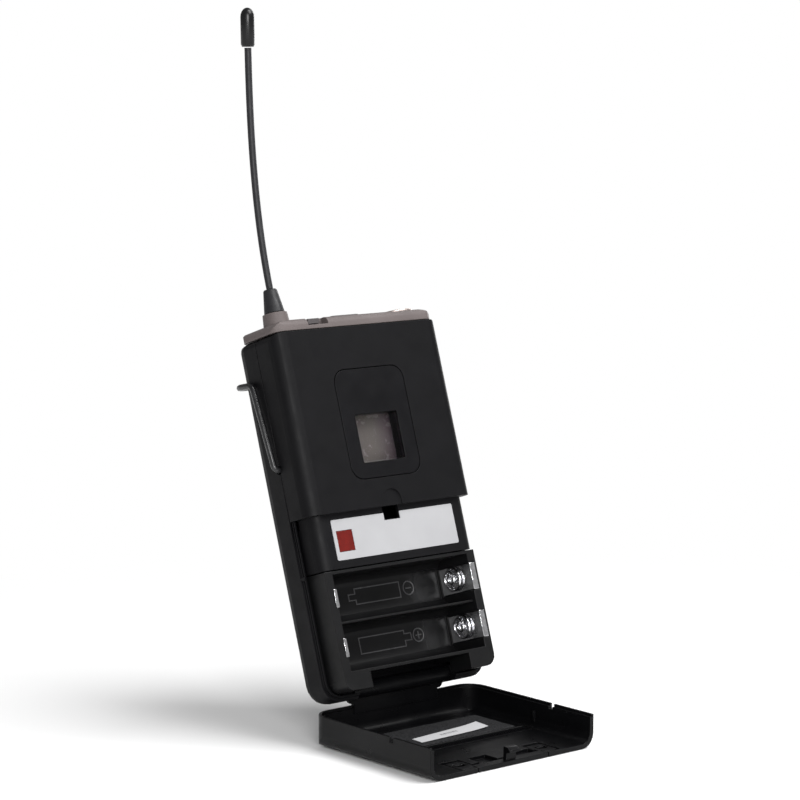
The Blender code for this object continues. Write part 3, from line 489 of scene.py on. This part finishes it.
def make_solids():
    for node, body, finish, slot, edge in (
            ("back_shell", "housing", "housing", "housing_black", 0.12),
            ("front_shell", "housing", "housing", "housing_black", 0.12),
            ("display_panel", "housing", "panel", "housing_black", 0.15),
            ("battery_tray", "housing", "tray", "tray_black", 0.15),
            ("top_cap", "housing", "cap", "cap_taupe", 0.15),
            ("mute_button", "mute_button", "control", "control_grey", 0.3),
            ("power_slider", "power_slider", "control", "control_grey", 0.15),
            ("battery_door", "battery_door", "door", "door_black", 0.12),
            ("door_latch", "door_latch", "door", "door_black", 0.12),
            ("channel_label", "housing", "label", "label_grey", 0),
            ("contact_spring_lower", "housing", "chrome", "contact_chrome", 0.08),
            ("contact_spring_upper", "housing", "chrome", "contact_chrome", 0.08),
            ("contact_flat_lower", "housing", "chrome", "contact_chrome", 0.08),
            ("contact_flat_upper", "housing", "chrome", "contact_chrome", 0.08),
            ("sync_window", "housing", "red", "sync_red", 0.1),
            ("mic_jack_shell", "housing", "jack", "jack_metal", 0.12),
            ("mic_jack_insert", "housing", "insert", "control_grey", 0.1)):
        finished(node, body, finish, edge)
    for node, body, finish, slot in (
            ("antenna_boot", "housing", "rubber", "antenna_rubber"),
            ("antenna_whip", "housing", "rubber", "antenna_rubber"),
            ("antenna_tip", "housing", "tip", "antenna_tip_gloss"),
            ("belt_clip", "belt_clip", "wire", "clip_wire")):
        finished(node, body, finish, edge=0, sharp=ROUND)


# solids that are shown as they are
CARRIED = {
    "display_lens": "lens", "lcd_module": "lcd", "antenna_ferrule": "jack", "hinge_pin": "steel",
    "rf_shield": "shield", "main_circuit_board": "board", "mute_switch": "switch_case",
    "power_switch_body": "shield", "sync_receiver": "switch_case",
    **{f"screw_{number}": "steel" for number in (1, 2, 3, 4)},
    **{f"mic_pin_{number}": "gold" for number in (1, 2, 3, 4)},
}


def paint_carried():
    for node, finish in CARRIED.items():
        obj = frame["nodes"][node]
        obj.data.materials.clear()
        obj.data.materials.append(MATERIALS[finish].material)


# ---- Moulded marks in the battery bays ---------------------------------------------------------
def on_bay_floor(x, height, above):
    return place(x, BAY_FLOOR - above, height)


def add_line(bm, points, closed=True):
    """A raised line with mitred corners on the bays' floor, through points across and up."""
    count = len(points)
    path = [Vector(point) for point in points]
    section = ((-1, -LINE_ROOT), (-1, LINE_HEIGHT), (1, LINE_HEIGHT), (1, -LINE_ROOT))
    rings = []
    for i, point in enumerate(path):
        before = path[i - 1] if closed or i else None
        after = path[(i + 1) % count] if closed or i < count - 1 else None
        sides = [(b - a).normalized() for a, b in ((before, point), (point, after)) if a and b]
        normals = [Vector((-side.y, side.x)) for side in sides]
        mitre = sum(normals, Vector((0, 0))).normalized()
        reach = LINE_WIDTH / 2 / max(SHARPEST_MITRE, mitre.dot(normals[0]))
        rings.append([bm.verts.new(on_bay_floor(*(point + mitre * reach * side), above))
                      for side, above in section])
    join_rings(bm, rings, closed)


def circle(x, y, radius):
    angles = [2 * pi * i / RING_CORNERS for i in range(RING_CORNERS)]
    return [(x + radius * cos(angle), y + radius * sin(angle)) for angle in angles]


def cell_outline(flat, shoulder, nub, low, high, nub_low, nub_high):
    """Outline of a battery, from its flat end to the nub of its other end."""
    return [(flat, low), (shoulder, low), (shoulder, nub_low), (nub, nub_low),
            (nub, nub_high), (shoulder, nub_high), (shoulder, high), (flat, high)]


def make_bay_marks():
    bm = bmesh.new()
    for sizes in CELL_MARKS:
        add_line(bm, cell_outline(*sizes))
    for x, y in (MINUS_SIGN, PLUS_SIGN):
        add_line(bm, circle(x, y, SIGN_RING))
        add_line(bm, [(x - SIGN_ARM, y), (x + SIGN_ARM, y)], closed=False)
    x, y = PLUS_SIGN
    gap = LINE_WIDTH / 2 + SIGN_GAP
    for side in (-1, 1):
        add_line(bm, [(x, y + side * gap), (x, y + side * SIGN_ARM)], closed=False)
    face_outward(bm)
    marks = link_object("bay_marks", mesh_of(bm, "bay_marks"))
    dress(marks, "housing", "tray_mark")


# ---- Coil contacts -----------------------------------------------------------------------------
def tube(name, path, radius):
    """A round wire along a path that never runs along the housing's width."""
    bm = bmesh.new()
    angles = [2 * pi * k / WIRE_SIDES for k in range(WIRE_SIDES)]
    rings = []
    for i, point in enumerate(path):
        along = (path[min(i + 1, len(path) - 1)] - path[max(i - 1, 0)]).normalized()
        side = along.cross(ACROSS).normalized()
        up = side.cross(along)
        rings.append([bm.verts.new(point + (side * cos(angle) + up * sin(angle)) * radius)
                      for angle in angles])
    join_rings(bm, rings)
    face_outward(bm)
    mesh = mesh_of(bm, name)
    shade(mesh, ROUND)
    return link_object(name, mesh)


def make_coils():
    """An outer turn on the contact plate, from which the wire winds in to a small end turn."""
    for which in ("lower", "upper"):
        node = "contact_coil_" + which
        low, high = (Vector(corner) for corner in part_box(node))
        local = HOUSING.inverted() @ ((low + high) / 2) / MM
        count = round(COIL_TURNS * COIL_STEPS)
        path = []
        for i in range(count + 1):
            turn = i / COIL_STEPS
            inward = min(1.0, max(0.0, (turn - COIL_OUTER_TURNS) / COIL_WIND_IN))
            eased = inward * inward * (3 - 2 * inward)
            radius = COIL_OUTER + (COIL_INNER - COIL_OUTER) * eased
            angle = 2 * pi * turn
            path.append(place(COIL_BASE - COIL_RISE * turn / COIL_TURNS,
                              local.y + radius * cos(angle), local.z + radius * sin(angle)))
        coil = tube(node + "_wire", path, COIL_WIRE * MM)
        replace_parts(dress(coil, "housing", "chrome"), node)


# ---- Foam pad and sticker in the door ----------------------------------------------------------
def slab(name, top, base, across, along):
    """A closed body between two grids of places, top(s, t) and base(s, t), s and t from 0 to 1."""
    bm = bmesh.new()
    layers = [[[bm.verts.new(side(i / across, j / along)) for j in range(along + 1)]
               for i in range(across + 1)] for side in (top, base)]
    for grid, order in zip(layers, (1, -1)):
        for i in range(across):
            for j in range(along):
                corners = (grid[i][j], grid[i + 1][j], grid[i + 1][j + 1], grid[i][j + 1])
                bm.faces.new(corners[::order])
    rim = [(i, 0) for i in range(across)] + [(across, j) for j in range(along)]
    rim += [(i, along) for i in range(across, 0, -1)] + [(0, j) for j in range(along, 0, -1)]
    for (a, b), (c, d) in zip(rim, rim[1:] + rim[:1]):
        bm.faces.new((layers[0][a][b], layers[1][a][b], layers[1][c][d], layers[0][c][d]))
    face_outward(bm)
    mesh = mesh_of(bm, name)
    shade(mesh, SOFT)
    return link_object(name, mesh)


def foam_height(s, t):
    """Height of the foam's face above its CAD block: crowned, soft-edged and a little uneven."""
    edge = min(s, 1 - s, t * FOAM_DEPTH_SHARE, (1 - t) * FOAM_DEPTH_SHARE)
    fall = max(0.0, 1 - edge / FOAM_SOFT_EDGE) ** 2 * FOAM_DROP
    crown = FOAM_CROWN * (1 - abs(2 * s - 1) ** 4) * (1 - abs(2 * t - 1) ** 4)
    lumps = noise.noise(Vector((s * FOAM_LUMPS[0], t * FOAM_LUMPS[1], 0.5)))
    return (crown - fall + FOAM_UNEVEN * lumps) * MM


def make_foam():
    low, high = (Vector(corner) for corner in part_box("door_foam"))
    size = high - low

    def top(s, t):
        return Vector((low.x + s * size.x, low.y + t * size.y, high.z + foam_height(s, t)))

    def base(s, t):
        return Vector((low.x + s * size.x, low.y + t * size.y, low.z))

    pad = dress(slab("foam_pad", top, base, *FOAM_GRID), "battery_door", "foam")
    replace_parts(pad, "door_foam")


def sticker_place(s, t, above):
    """A place on the sticker, which lies on the foam and has come up at its right end."""
    corners = [Vector(corner) for corner in STICKER]
    at = corners[0].lerp(corners[1], s).lerp(corners[3].lerp(corners[2], s), t)
    lift = STICKER_LIFT * max(0.0, (s - STICKER_LIFT_START) / (1 - STICKER_LIFT_START)) ** 2
    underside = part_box("door_foam")[1][2] / MM + FOAM_CROWN + STICKER_CLEARANCE
    return Vector((at.x, at.y, underside + lift + above)) * MM


def make_sticker():
    film = slab("sticker_film", lambda s, t: sticker_place(s, t, STICKER_THICKNESS),
                lambda s, t: sticker_place(s, t, 0.0), *STICKER_GRID)
    dress(film, "battery_door", "sticker")
    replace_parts(film, "door_sticker")
    bm = bmesh.new()
    for i, width in enumerate(BAR_WIDTHS):
        left = BAR_START + i * BAR_PITCH
        right = left + width * BAR_UNIT
        ring = ((left, BAR_LOW), (right, BAR_LOW), (right, BAR_HIGH), (left, BAR_HIGH))
        lower, upper = ([bm.verts.new(sticker_place(s, t, STICKER_THICKNESS + relief))
                         for s, t in ring] for relief in (-BAR_RELIEF, BAR_RELIEF))
        bm.faces.new(upper)
        bm.faces.new(lower[::-1])
        for k in range(4):
            bm.faces.new((lower[k], lower[(k + 1) % 4], upper[(k + 1) % 4], upper[k]))
    bars = link_object("sticker_bars", mesh_of(bm, "sticker_bars"))
    dress(bars, "battery_door", "ink")


middle_of_part = make_camera()
make_studio(middle_of_part)
make_solids()
paint_carried()
make_bay_marks()
make_coils()
make_foam()
make_sticker()
